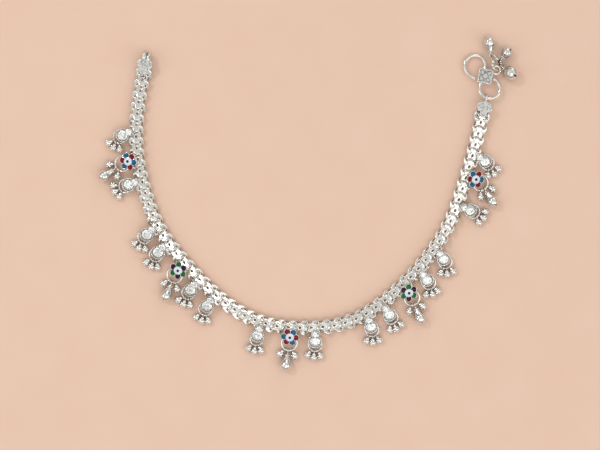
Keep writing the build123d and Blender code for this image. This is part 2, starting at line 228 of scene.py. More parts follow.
def smooth(piece: bpy.types.Object, angle: float = 40.0) -> None:
    """Shade a piece smooth except over its sharp edges.

    Args:
        piece: mesh object to shade.
        angle: edges sharper than this many degrees stay sharp.
    """
    deselect()
    piece.select_set(True)
    bpy.context.view_layer.objects.active = piece
    bpy.ops.object.shade_smooth_by_angle(angle=math.radians(angle))


def join(parts: list[bpy.types.Object], name: str) -> bpy.types.Object:
    """Join several pieces into one.

    Args:
        parts: pieces to join; only the first is left.
        name: name of the joined piece.

    Returns:
        The joined piece.
    """
    deselect()
    for part in parts:
        part.select_set(True)
    bpy.context.view_layer.objects.active = parts[0]
    if len(parts) > 1:
        bpy.ops.object.join()
    parts[0].name = name
    parts[0].data.name = name
    return parts[0]


def stamp(pattern: bpy.types.Object, places: Iterable[Matrix], name: str) -> bpy.types.Object:
    """Copy a pattern to each place, each copy with its own mesh, and join the copies.

    Args:
        pattern: finished piece, in millimetres.
        places: where the copies go, in millimetres.
        name: name of the joined piece.

    Returns:
        The joined piece, in millimetres.
    """
    copies = []
    for place in places:
        made = pattern.copy()
        made.data = pattern.data.copy()
        made.data.transform(place)
        bpy.context.scene.collection.objects.link(made)
        copies.append(made)
    return join(copies, name)


def settle(piece: bpy.types.Object, material: bpy.types.Material) -> bpy.types.Object:
    """Bring a finished piece from millimetres into the frame, dress it and let it ride.

    Args:
        piece: joined piece in millimetres, its object at the origin.
        material: its finish.

    Returns:
        The same piece.
    """
    piece.data.transform(Matrix.Scale(MM, 4))
    piece.data.materials.clear()
    piece.data.materials.append(material)
    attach(piece, BODY)
    log.info("%s: %d faces", piece.name, len(piece.data.polygons))
    return piece


def discard(*patterns: bpy.types.Object) -> None:
    """Remove patterns that were only copied."""
    for pattern in patterns:
        bpy.data.objects.remove(pattern)


def node_points(node: str) -> list[Vector]:
    """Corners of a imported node's mesh, in millimetres."""
    owner = bpy.data.objects[node]
    return [v.co / MM for v in owner.data.vertices]


# ------------------------------------------------------------------ finishes
class Relief(Enum):
    """How a silver surface was made."""

    DRAWN = "drawn wire"
    CAST = "cast and stippled"
    TURNED = "spun and buffed"


@dataclass(frozen=True)
class Silver:
    """Sterling silver, buffed white, with painted shade darkening its crevices and undersides,
    partly a little sulphide left in its crevices.
    """

    relief: Relief
    bright: str = "#FCFBF7"
    warm: str = "#EDE9E0"
    # the crevice colour serves both the painted shade from occlusion and the dull colour of the
    # pits
    sulphide_and_painted_shade: str = "#2B251D"
    roughness: tuple[float, float] = (0.14, 0.24)
    drift_scale: float = 330.0
    grain_mm: float = 0.5
    grain_depth_mm: float = 0.01
    grain_band: tuple[float, float] = (0.3, 0.7)
    pit_band: tuple[float, float] = (0.36, 0.5)
    pits: float = 0.1
    # how far and how strongly occlusion paints shade into crevices and undersides
    painted_shade_mm: float = 0.7
    painted_shade_band: tuple[float, float] = (0.2, 0.62)

    def material(self) -> bpy.types.Material:
        """Build the material.

        Returns:
            A metal whose colour, gloss and fine relief vary over the surface.
        """
        made = blank(f"sterling_silver_{self.relief.name.lower()}")
        tree = made.node_tree
        place = add_node(tree, "ShaderNodeTexCoord").outputs["Object"]
        # drifts of tone some 3 mm across, as handling leaves them
        drift = add_node(
            tree,
            "ShaderNodeTexNoise",
            inputs={"Vector": place, "Scale": self.drift_scale, "Detail": 3.0},
        )
        tone = blend(tree, drift.outputs["Fac"], linear(self.bright), linear(self.warm))
        # grain of the casting or of the buffing wheel, dull in its pits
        grain = add_node(
            tree,
            "ShaderNodeTexNoise",
            inputs={"Vector": place, "Scale": 1000.0 / self.grain_mm, "Detail": 2.0},
        )
        pit = add_node(
            tree,
            "ShaderNodeMapRange",
            {"interpolation_type": "SMOOTHSTEP"},
            {
                "Value": grain.outputs["Fac"],
                "From Min": self.pit_band[0],
                "From Max": self.pit_band[1],
                "To Min": self.pits,
                "To Max": 0.0,
            },
        )
        pitted = blend(tree, pit.outputs["Result"], tone, linear(self.sulphide_and_painted_shade))
        # painted shade: ambient occlusion darkens crevices and surfaces close to the floor,
        # partly the sulphide that stays where a polishing cloth can't reach
        shade = add_node(
            tree, "ShaderNodeAmbientOcclusion", {"samples": 8}, {"Distance": self.painted_shade_mm * MM}
        )
        reach = add_node(
            tree,
            "ShaderNodeMapRange",
            {"interpolation_type": "SMOOTHSTEP"},
            {
                "Value": shade.outputs["AO"],
                "From Min": self.painted_shade_band[0],
                "From Max": self.painted_shade_band[1],
            },
        )
        base = blend(tree, reach.outputs["Result"], linear(self.sulphide_and_painted_shade), pitted)
        gloss = add_node(
            tree,
            "ShaderNodeMapRange",
            inputs={
                "Value": grain.outputs["Fac"],
                "From Min": self.grain_band[0],
                "From Max": self.grain_band[1],
                "To Min": self.roughness[0],
                "To Max": self.roughness[1],
            },
        )
        bump = add_node(
            tree,
            "ShaderNodeBump",
            inputs={
                "Height": grain.outputs["Fac"],
                "Strength": 1.0,
                "Distance": self.grain_depth_mm * MM,
            },
        )
        shader = add_node(
            tree,
            "ShaderNodeBsdfPrincipled",
            inputs={
                "Base Color": base,
                "Metallic": 1.0,
                "Roughness": gloss.outputs["Result"],
                "Normal": bump.outputs["Normal"],
            },
        )
        add_node(tree, "ShaderNodeOutputMaterial", inputs={"Surface": shader.outputs["BSDF"]})
        return made


@dataclass(frozen=True)
class Enamel:
    """Vitreous enamel, fired glass: deep colour under a clear wet-looking surface."""

    name: str
    colour: str
    deep: str
    pool_scale: float = 1400.0
    peel_strength: float = 0.6
    peel_depth_mm: float = 0.008
    roughness: tuple[float, float] = (0.05, 0.14)
    ior: float = 1.52
    specular: float = 0.25

    def material(self) -> bpy.types.Material:
        """Build the material.

        Returns:
            A glossy coloured glaze, a little darker where it pools.
        """
        made = blank(f"vitreous_enamel_{self.name}")
        tree = made.node_tree
        place = add_node(tree, "ShaderNodeTexCoord").outputs["Object"]
        # pools and thin places about 0.7 mm across
        pools = add_node(
            tree,
            "ShaderNodeTexNoise",
            inputs={"Vector": place, "Scale": self.pool_scale, "Detail": 2.0},
        )
        tone = blend(tree, pools.outputs["Fac"], linear(self.deep), linear(self.colour))
        # orange peel that the kiln leaves
        peel = add_node(
            tree,
            "ShaderNodeBump",
            inputs={
                "Height": pools.outputs["Fac"],
                "Strength": self.peel_strength,
                "Distance": self.peel_depth_mm * MM,
            },
        )
        gloss = add_node(
            tree,
            "ShaderNodeMapRange",
            inputs={
                "Value": pools.outputs["Fac"],
                "To Min": self.roughness[0],
                "To Max": self.roughness[1],
            },
        )
        shader = add_node(
            tree,
            "ShaderNodeBsdfPrincipled",
            inputs={
                "Base Color": tone,
                "Roughness": gloss.outputs["Result"],
                "IOR": self.ior,
                "Specular IOR Level": self.specular,
                "Normal": peel.outputs["Normal"],
            },
        )
        add_node(tree, "ShaderNodeOutputMaterial", inputs={"Surface": shader.outputs["BSDF"]})
        return made


@dataclass(frozen=True)
class Paper:
    """Uncoated studio paper: pale, matt and a little mottled."""

    light: str = "#F3D2BC"
    dark: str = "#EEC8B0"
    mottle_scale: float = 60.0
    roughness: float = 0.9

    def material(self) -> bpy.types.Material:
        """Build the material of the floor.

        Returns:
            A matt material that is mottled a little.
        """
        made = blank("studio_paper")
        tree = made.node_tree
        place = add_node(tree, "ShaderNodeTexCoord").outputs["Object"]
        mottle = add_node(
            tree,
            "ShaderNodeTexNoise",
            inputs={"Vector": place, "Scale": self.mottle_scale, "Detail": 4.0},
        )
        tone = blend(tree, mottle.outputs["Fac"], linear(self.light), linear(self.dark))
        shader = add_node(
            tree,
            "ShaderNodeBsdfPrincipled",
            inputs={"Base Color": tone, "Roughness": self.roughness},
        )
        add_node(tree, "ShaderNodeOutputMaterial", inputs={"Surface": shader.outputs["BSDF"]})
        return made


@dataclass
class Palette:
    """Every finish of the anklet, made once."""

    wire: bpy.types.Material = field(
        default_factory=lambda: Silver(Relief.DRAWN, roughness=(0.12, 0.22)).material()
    )
    cast: bpy.types.Material = field(
        default_factory=lambda: Silver(
            Relief.CAST,
            bright="#F9FAF8",
            warm="#E8E8E2",
            roughness=(0.2, 0.36),
            grain_mm=0.7,
            grain_depth_mm=0.12,
            pits=0.4,
            # a wider occlusion band paints darker shade outlines round the cast relief
            painted_shade_band=(0.25, 0.75),
        ).material()
    )
    turned: bpy.types.Material = field(
        default_factory=lambda: Silver(
            Relief.TURNED,
            roughness=(0.08, 0.16),
            grain_mm=0.9,
            grain_depth_mm=0.006,
            pits=0.05,
            # an 8 mm occlusion reach paints shade over the lower half of each ball and bell,
            # towards the floor
            painted_shade_mm=8.0,
            painted_shade_band=(0.15, 0.9),
        ).material()
    )
    enamels: dict[str, bpy.types.Material] = field(
        default_factory=lambda: {
            made.name: made.material()
            for made in (
                Enamel("teal", "#006E9C", "#005078"),
                Enamel("red", "#920018", "#620010"),
                Enamel("green", "#047A3C", "#03522A"),
                Enamel("plum", "#3C0F3A", "#220824"),
                Enamel("white", "#F2F5F8", "#DCE6EE"),
                Enamel("ink", "#16225A", "#0C1438"),
            )
        }
    )

    def dress(self, material: bpy.types.Material, *nodes: str) -> None:
        """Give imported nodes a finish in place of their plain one.

        Args:
            material: the finish.
            *nodes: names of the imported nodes.
        """
        for node in nodes:
            slots = bpy.data.objects[node].material_slots
            for slot in slots:
                slot.link = "OBJECT"
                slot.material = material
            log.info("%s: %s", node, material.name)


# ------------------------------------------------------------------ places on the anklet
@dataclass(frozen=True)
class HeadSeat:
    """How a pendant's head lies, and how far its solid reaches from its own origin."""

    node: str
    heading: float
    tilt: float
    low_x: float
    high_z: float

    def place(self) -> Matrix:
        """Find the head's own axes in the frame.

        Returns:
            Matrix from the head's millimetres to the frame's: X away from the chain, Z up.
        """
        turn = Matrix.Rotation(math.radians(self.heading), 3, "Z")
        axes = turn @ Matrix.Rotation(math.radians(self.tilt), 3, "Y")
        local = [axes.transposed() @ point for point in node_points(self.node)]
        sides = [point.y for point in local]
        origin = Vector(
            (
                min(point.x for point in local) - self.low_x,
                (min(sides) + max(sides)) / 2,
                max(point.z for point in local) - self.high_z,
            )
        )
        return Matrix.Translation(axes @ origin) @ axes.to_4x4()


# ------------------------------------------------------------------ sub-assemblies
def grain(radius: float, foot: float = 0.4) -> bpy.types.Object:
    """Model one grain of a beaded edge: a ball flattened where it is soldered.

    Args:
        radius: radius of the ball.
        foot: how far below its middle it is cut flat, as a share of the radius.

    Returns:
        The grain, at the origin.
    """
    deselect()
    bpy.ops.mesh.primitive_ico_sphere_add(subdivisions=2, radius=radius)
    made = bpy.context.object
    open_edit(made)
    bpy.ops.mesh.select_all(action="SELECT")
    bpy.ops.mesh.bisect(
        plane_co=(0, 0, -foot * radius), plane_no=(0, 0, -1), use_fill=True, clear_outer=True
    )
    deselect()
    smooth(made, angle=50)
    return made


@dataclass(frozen=True)
class Route:
    """Line of the chain as it lies: rows of bends, each four pitches long, in millimetres."""

    pitch: float = 4.24
    start: tuple[float, float] = (-61.0, 47.97)
    heading: float = 258.0
    pitches_a_bend: int = 4
    bends: tuple[float, ...] = (7, 15, 10, 19, 5, 15, 25, 13, 27, 11, 10, 16, 3, 4)

    def place(self, pitches: float, side: float, height: float) -> Matrix:
        """Find a place on the chain.

        Args:
            pitches: distance from the looped end, in pitches.
            side: distance to the inner side.
            height: height over the floor.

        Returns:
            Matrix whose X runs along the chain and whose Y points to the inner side.
        """
        x, y = self.start
        heading, left = self.heading, pitches * self.pitch
        whole = self.pitches_a_bend * self.pitch
        for bend in self.bends:
            length = min(left, whole)
            half = math.radians(bend * length / whole / 2)
            chord = length * math.sin(half) / half if half else length
            x += chord * math.cos(math.radians(heading) + half)
            y += chord * math.sin(math.radians(heading) + half)
            heading += math.degrees(2 * half)
            left -= length
            if left <= 0:
                break
        turn = Matrix.Rotation(math.radians(heading), 4, "Z")
        return Matrix.Translation((x, y, 0)) @ turn @ Matrix.Translation((0, side, height))


@dataclass
class Granulation:
    """Row of granules soldered round the ball of every drop."""

    palette: Palette
    grain_r: float = 0.52
    grains: int = 6
    latitude: float = 22.0
    depth: float = 0.26
    rest: float = 0.1
    plain_nodes: int = 14
    plain_ball_r: float = 1.08
    flower_nodes: int = 5
    flower_ball_r: float = 1.2

    def middles(self, node: str, radius: float) -> list[Vector]:
        """Find the middles of the balls of packed drops, above where they rest.

        Args:
            node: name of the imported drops.
            radius: radius of a ball.

        Returns:
            The middles, in millimetres.
        """
        groups: list[list[Vector]] = []
        for point in node_points(node):
            if point.z > self.rest:
                continue
            near = [group for group in groups if (group[0] - point).length < radius]
            if near:
                near[0].append(point)
            else:
                groups.append([point])
        spots = [sum(group, Vector()) / len(group) for group in groups]
        return [Vector((spot.x, spot.y, radius)) for spot in spots]

    def ring(self, pattern: bpy.types.Object, node: str, radius: float) -> None:
        """Solder granules round the balls of one node.

        Args:
            pattern: one granule.
            node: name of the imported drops.
            radius: radius of a ball.
        """
        lift = Matrix.Rotation(math.radians(90 - self.latitude), 4, "Y")
        out = lift @ Matrix.Translation((0, 0, radius - self.depth))
        turns = [
            Matrix.Rotation(2 * math.pi * count / self.grains, 4, "Z")
            for count in range(self.grains)
        ]
        places = [
            Matrix.Translation(middle) @ turn @ out
            for middle in self.middles(node, radius)
            for turn in turns
        ]
        settle(stamp(pattern, places, f"granules_{node}"), self.palette.wire)

    def build(self) -> None:
        """Solder granules round the balls of all the drops."""
        pattern = grain(self.grain_r)
        for number in range(1, self.plain_nodes + 1):
            self.ring(pattern, f"plain_drops_{number:02d}", self.plain_ball_r)
        for number in range(1, self.flower_nodes + 1):
            self.ring(pattern, f"flower_drops_{number}", self.flower_ball_r)
        discard(pattern)


@dataclass
class ChainBand:
    """Three rows of rolled links and the caps at their ends.

    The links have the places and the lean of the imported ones. They are plumper, with smaller
    eyes, so each of them passes through its neighbours.
    """

    palette: Palette
    route: Route = Route()
    pairs: int = 57
    middle_height: float = 1.53
    wire_height: float = 1.04
    segments: tuple[int, int] = (20, 12)
    crest: float = 0.49
    groove: float = 0.5
    side_reach: tuple[float, float] = (2.42, 1.3)
    side_eye: float = 0.2
    end_reach: tuple[float, float] = (2.47, 1.6)
    side_offset: float = 1.632
    side_lean: float = 33.4
    middle_reach: tuple[float, float] = (2.95, 1.82)
    middle_eye: float = 0.25
    middle_lean: float = -20.8

    def link(self, reach: tuple[float, float], eye: float) -> bpy.types.Object:
        """Model one link: a plump oval ring of wire rolled with a groove along its face.

        Args:
            reach: half its outside length and half its outside width.
            eye: half the width of the eye left in its middle.

        Returns:
            The link, lying flat at the origin.
        """
        deselect()
        width = reach[1] - eye
        bpy.ops.mesh.primitive_torus_add(
            major_segments=self.segments[0],
            minor_segments=self.segments[1],
            major_radius=eye + width / 2,
            minor_radius=width / 2,
        )
        made = bpy.context.object
        open_edit(made)
        pick_points(made, lambda spot: abs(spot.z) > self.crest * width)
        bpy.ops.transform.resize(value=(1, 1, self.groove))
        bpy.ops.mesh.select_all(action="SELECT")
        bpy.ops.transform.resize(value=(reach[0] / reach[1], 1, self.wire_height / width))
        deselect()
        smooth(made, angle=80)
        return made

    def build(self) -> None:
        """Lay the rows in two halves that meet, cover the caps' links and dress the caps."""
        side = self.link(self.side_reach, self.side_eye)
        middle = self.link(self.middle_reach, self.middle_eye)
        end = self.link(self.end_reach, self.side_eye)
        side_turn = Matrix.Rotation(math.radians(self.side_lean), 4, "Y")
        middle_turn = Matrix.Rotation(math.radians(self.middle_lean), 4, "Y")
        half = self.pairs // 2
        for node, first, last in (("chain_left", 0, half), ("chain_right", half, self.pairs - 1)):
            sides = [
                self.route.place(pair, offset, self.middle_height) @ side_turn
                for pair in range(first + 1, min(last, self.pairs - 2) + 1)
                for offset in (self.side_offset, -self.side_offset)
            ]
            middles = [
                self.route.place(pair + 0.5, 0, self.middle_height) @ middle_turn
                for pair in range(first, last)
            ]
            rows = [stamp(side, sides, "side_rows"), stamp(middle, middles, "middle_row")]
            band = join(rows, f"woven_{node}")
            settle(band, self.palette.wire)
            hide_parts(node)
        for name, pair in (("end_rings_left", 0), ("end_rings_right", self.pairs - 1)):
            ends = [
                self.route.place(pair, offset, self.middle_height) @ side_turn
                for offset in (self.side_offset, -self.side_offset)
            ]
            settle(stamp(end, ends, name), self.palette.wire)
        discard(side, middle, end)
        self.palette.dress(self.palette.cast, "cap_left", "cap_right")


@dataclass
class HookClasp:
    """S hook, the rings on its eye and their three bells."""

    palette: Palette
    bells: int = 3
    plate: tuple[float, float] = (65.0, 46.99)
    hang: tuple[float, float, float] = (0.145, -7.852, 1.95)
    hang_heading: float = 122.0
    tilt: float = 3.6
    turn: float = -12.0
    field_side: float = 5.1
    field_thick: float = 0.16
    field_sunk: float = 0.07
    field_z: float = 1.09
    border: float = 0.42
    rounding: float = 0.05
    bead_r: float = 0.22
    bead_rise: float = 0.12
    beads_a_side: int = 8
    eye: tuple[float, float, float] = (4.05, 2.28, 0.5)
    ring_r: float = 2.0
    ring_slack: float = 0.05
    ring_tilt: float = 32.0
    ring_heading: float = 85.0
    ball_r: float = 0.66
    ball_angles: tuple[float, ...] = (-69.0, -4.0, 66.0, 102.0, 138.0)

    def seat(self) -> Matrix:
        """Find the hook's own axes: it tips about the place where its bail holds it.

        Returns:
            Matrix from the hook's millimetres to the frame's.
        """
        hang_x, hang_y, hang_z = self.hang
        heading = Matrix.Rotation(math.radians(self.hang_heading), 4, "Z")
        tip = heading @ Matrix.Rotation(math.radians(self.tilt), 4, "Y") @ heading.inverted()
        place = Matrix.Translation((self.plate[0] + hang_x, self.plate[1] + hang_y, hang_z))
        return place @ tip @ Matrix.Translation((-hang_x, -hang_y, 0))

    def ball_places(self) -> list[Matrix]:
        """Find the places of the balls on the bell ring, between the bells' loops.

        Returns:
            One matrix a ball.
        """
        heading, tilt = math.radians(self.ring_heading), math.radians(self.ring_tilt)
        out = Vector((math.cos(heading), math.sin(heading), 0))
        side = Vector((-out.y * math.cos(tilt), out.x * math.cos(tilt), math.sin(tilt)))
        middle = self.seat() @ Vector(self.eye) + out * (self.ring_r + self.ring_slack)
        angles = [math.radians(angle) for angle in self.ball_angles]
        return [
            Matrix.Translation(
                middle + (out * math.cos(angle) + side * math.sin(angle)) * self.ring_r
            )
            for angle in angles
        ]

    def field(self) -> bpy.types.Object:
        """Model the plate's stippled field: a thin square tray with a raised border.

        Returns:
            The tray, at the origin.
        """
        deselect()
        bpy.ops.mesh.primitive_cube_add(size=1.0)
        made = bpy.context.object
        open_edit(made)
        bpy.ops.mesh.select_all(action="SELECT")
        bpy.ops.transform.resize(value=(self.field_side, self.field_side, self.field_thick))
        pick_faces(made, upward)
        bpy.ops.mesh.inset(thickness=self.border)
        sunk = (0, 0, -self.field_sunk)
        bpy.ops.mesh.extrude_region_move(TRANSFORM_OT_translate={"value": sunk})
        deselect()
        round_edges(made, self.rounding)
        smooth(made)
        return made

    def build(self) -> None:
        """Dress the hook, its rings and its bells, and ornament the plate."""
        self.palette.dress(self.palette.wire, "s_hook", "bell_ring", "bell_link")
        for number in range(1, self.bells + 1):
            self.palette.dress(self.palette.turned, f"clasp_bell_{number}")
        field, bead, ball = self.field(), grain(self.bead_r), grain(self.ball_r)
        balls = stamp(ball, self.ball_places(), "bell_ring_balls")
        settle(balls, self.palette.turned)
        seat = self.seat() @ Matrix.Rotation(math.radians(self.turn), 4, "Z")
        tray = stamp(field, [seat @ Matrix.Translation((0, 0, self.field_z))], "hook_plate_field")
        settle(tray, self.palette.cast)
        reach = (self.field_side - self.border) / 2
        step = 2 * reach / self.beads_a_side
        spots = []
        for side in range(4):
            corner = Matrix.Rotation(math.radians(90 * side), 4, "Z")
            for count in range(self.beads_a_side):
                height = self.field_z + self.bead_rise
                spot = Matrix.Translation((count * step - reach, reach, height))
                spots.append(seat @ corner @ spot)
        settle(stamp(bead, spots, "hook_plate_beads"), self.palette.wire)
        discard(field, bead, ball)


@dataclass
class PlainPendants:
    """Leaf and round plate pendants, each with three drops on its ring."""

    palette: Palette
    tilt: float = 17.0
    low_x: float = -0.9
    high_z: float = 1.05
    plate_x: float = 3.4
    bead_ring_r: float = 2.34
    bead_z: float = 0.83
    bead_r: float = 0.17
    beads: int = 26
    ribs: int = 12
    rib_height: float = 0.24
    rib_band: tuple[float, float] = (0.33, 0.98)
    rib_foot: float = 0.2
    rib_share: float = 0.125
    shell_r: float = 2.1
    shell_depth: float = 0.3
    shell_steps: tuple[tuple[float, float], ...] = (
        (0.06, 0.1), (0.24, 0.16), (0.26, 0.1), (0.2, 0.04),
    )
    leaf_r: float = 1.55
    leaf_x: float = 0.75
    point_x: float = -0.5
    point_width: float = 0.72
    shell_z: float = 0.72
    pad_z: float = 0.7
    headings: tuple[float, ...] = (
        203, 199, 222, 228, 232, 237, 255, 270, 290, 302, 307, 305, 337, 324,
    )

    def shell(self, radius: float) -> bpy.types.Object:
        """Model a ribbed shell: a low dome with ribs that fan out from its middle.

        Args:
            radius: radius of the shell's foot.

        Returns:
            The shell, standing at the origin.
        """
        deselect()
        bpy.ops.mesh.primitive_cylinder_add(
            vertices=2 * self.ribs, radius=radius, depth=self.shell_depth
        )
        made = bpy.context.object
        open_edit(made)
        for inset, rise in self.shell_steps:
            pick_faces(
                made, lambda centre, normal: centre.xy.length < AT_MIDDLE and centre.z > 0
            )
            bpy.ops.mesh.inset(thickness=inset * radius)
            bpy.ops.transform.translate(value=(0, 0, rise))
        bay = 2 * math.pi / self.ribs
        inner, outer = self.rib_band
        pick_points(
            made,
            lambda spot: spot.z > self.rib_foot
            and inner * radius < spot.xy.length < outer * radius
            and abs(math.remainder(math.atan2(spot.y, spot.x), bay)) < bay * self.rib_share,
        )
        bpy.ops.transform.translate(value=(0, 0, self.rib_height))
        deselect()
        apply_modifier(made, "SUBSURF", levels=1, render_levels=1)
        smooth(made, angle=60)
        return made

    def pad(self) -> bpy.types.Object:
        """Model the puffed leaf over the chain: a ribbed shell drawn to a point.

        Returns:
            The leaf, at the origin.
        """
        made = self.shell(self.leaf_r)
        open_edit(made)
        pick_points(made, lambda spot: spot.x < self.point_x)
        bpy.ops.transform.resize(value=(1, self.point_width, 1), center_override=(0, 0, 0))
        deselect()
        return made

    def build(self) -> None:
        """Dress the heads and drops and add the leaf, shell and beaded edge of every plate."""
        pattern, shell, pad = grain(self.bead_r), self.shell(self.shell_r), self.pad()
        for number, heading in enumerate(self.headings, start=1):
            node = f"plain_pendant_{number:02d}"
            self.palette.dress(self.palette.cast, node)
            self.palette.dress(self.palette.turned, f"plain_drops_{number:02d}")
            head = HeadSeat(node, heading, self.tilt, self.low_x, self.high_z).place()
            places = []
            for step in range(self.beads):
                angle = 2 * math.pi * step / self.beads
                spot = Vector(
                    (
                        self.plate_x + self.bead_ring_r * math.cos(angle),
                        self.bead_ring_r * math.sin(angle),
                        self.bead_z,
                    )
                )
                places.append(head @ Matrix.Translation(spot))
            edge = stamp(pattern, places, f"beaded_edge_{number:02d}")
            settle(edge, self.palette.wire)
            on_plate = head @ Matrix.Translation((self.plate_x, 0, self.shell_z))
            raised = stamp(shell, [on_plate], f"ribbed_shell_{number:02d}")
            settle(raised, self.palette.cast)
            on_leaf = head @ Matrix.Translation((self.leaf_x, 0, self.pad_z))
            puffed = stamp(pad, [on_leaf], f"puffed_leaf_{number:02d}")
            settle(puffed, self.palette.cast)
        discard(pattern, shell, pad)


@dataclass
class FlowerPendants:
    """Enamelled flowers, each with two drops and a bell on its ring."""

    palette: Palette
    tilt: float = 15.6
    flower_x: float = 1.6
    petal_out: float = 2.2
    petal_reach: float = 2.839
    high_z: float = 1.55
    petals: int = 6
    first_petal: float = 30.0
    cell_r: float = 1.16
    cell_sides: int = 28
    cell_wall: float = 0.13
    cell_sunk: float = 0.22
    cell_low: float = 0.3
    cell_high: float = 0.96
    rounding: float = 0.06
    glaze_depth: float = 0.2
    glaze_lap: float = 0.02
    glaze_steps: tuple[tuple[float, float], ...] = ((0.1, 0.07), (0.2, 0.08), (0.25, 0.04))
    glaze_z: float = 0.86
    collar_r: float = 1.58
    collar_z: float = 0.95
    eye_z: float = 1.2
    pupil_r: float = 0.52
    pupil_sides: int = 20
    pupil_depth: float = 0.12
    pupil_edge: float = 0.16
    pupil_rise: float = 0.06
    pupil_z: float = 1.56
    headings: tuple[float, ...] = (199, 233, 264, 303, 327)
    colours: tuple[tuple[str, str], ...] = (
        ("teal", "red"), ("plum", "green"), ("teal", "red"), ("green", "plum"), ("teal", "red"),
    )

    def cell(self, radius: float) -> bpy.types.Object:
        """Model a silver cell for enamel: a short cup with a rounded rim.

        Args:
            radius: its outer radius.

        Returns:
            The cell, at the origin.
        """
        deselect()
        depth = self.cell_high - self.cell_low
        bpy.ops.mesh.primitive_cylinder_add(
            vertices=self.cell_sides, radius=radius, depth=depth
        )
        made = bpy.context.object
        open_edit(made)
        pick_faces(made, upward)
        bpy.ops.mesh.inset(thickness=self.cell_wall)
        sunk = (0, 0, -self.cell_sunk)
        bpy.ops.mesh.extrude_region_move(TRANSFORM_OT_translate={"value": sunk})
        deselect()
        round_edges(made, self.rounding)
        smooth(made)
        return made

    def glaze(self, cell_r: float) -> bpy.types.Object:
        """Model the enamel of one cell: a crowned drop that fills it.

        Args:
            cell_r: outer radius of the cell.

        Returns:
            The enamel, at the origin.
        """
        deselect()
        radius = cell_r - self.cell_wall + self.glaze_lap
        bpy.ops.mesh.primitive_cylinder_add(
            vertices=self.cell_sides, radius=radius, depth=self.glaze_depth
        )
        made = bpy.context.object
        open_edit(made)
        for inset, rise in self.glaze_steps:
            pick_faces(made, lambda centre, normal: normal.z > LEVEL and centre.z > 0)
            bpy.ops.mesh.inset(thickness=inset * radius)
            bpy.ops.transform.translate(value=(0, 0, rise * radius))
        deselect()
        smooth(made, angle=60)
        return made

    def pupil(self) -> bpy.types.Object:
        """Model the dark point of glass let into the top of the boss.

        Returns:
            The point of glass, at the origin.
        """
        deselect()
        bpy.ops.mesh.primitive_cylinder_add(
            vertices=self.pupil_sides, radius=self.pupil_r, depth=self.pupil_depth
        )
        made = bpy.context.object
        open_edit(made)
        pick_faces(made, upward)
        bpy.ops.mesh.inset(thickness=self.pupil_edge)
        bpy.ops.transform.translate(value=(0, 0, self.pupil_rise))
        deselect()
        smooth(made, angle=60)
        return made

    def build(self) -> None:
        """Dress the flowers, their drops and bells, and fill the petals with enamel."""
        cell, glaze = self.cell(self.cell_r), self.glaze(self.cell_r)
        collar, eye, pupil = self.cell(self.collar_r), self.glaze(self.collar_r), self.pupil()
        enamels = self.palette.enamels
        low_x = self.flower_x - self.petal_reach
        for number, heading in enumerate(self.headings, start=1):
            node = f"flower_pendant_{number}"
            self.palette.dress(self.palette.wire, node)
            self.palette.dress(
                self.palette.turned, f"flower_drops_{number}", f"flower_bell_{number}"
            )
            head = HeadSeat(node, heading, self.tilt, low_x, self.high_z).place()
            first, second = self.colours[number - 1]
            petals = []
            for step in range(self.petals):
                angle = math.radians(self.first_petal + 360 / self.petals * step)
                petal_x = self.flower_x + self.petal_out * math.cos(angle)
                petal_y = self.petal_out * math.sin(angle)
                petals.append(head @ Matrix.Translation((petal_x, petal_y, 0)))
            middle = (self.cell_low + self.cell_high) / 2
            lift = Matrix.Translation((0, 0, middle))
            cells = stamp(cell, [place @ lift for place in petals], f"petal_cells_{number}")
            settle(cells, self.palette.wire)
            fill = Matrix.Translation((0, 0, self.glaze_z))
            for order, colour in ((0, first), (1, second)):
                name = f"petals_{colour}_{number}"
                piece = stamp(glaze, [place @ fill for place in petals[order::2]], name)
                settle(piece, enamels[colour])
            for pattern, height, name, finish in (
                (collar, self.collar_z, "flower_collar", self.palette.wire),
                (eye, self.eye_z, "flower_eye", enamels["white"]),
                (pupil, self.pupil_z, "flower_pupil", enamels["ink"]),
            ):
                top = head @ Matrix.Translation((self.flower_x, 0, height))
                settle(stamp(pattern, [top], f"{name}_{number}"), finish)
        discard(cell, glaze, collar, eye, pupil)


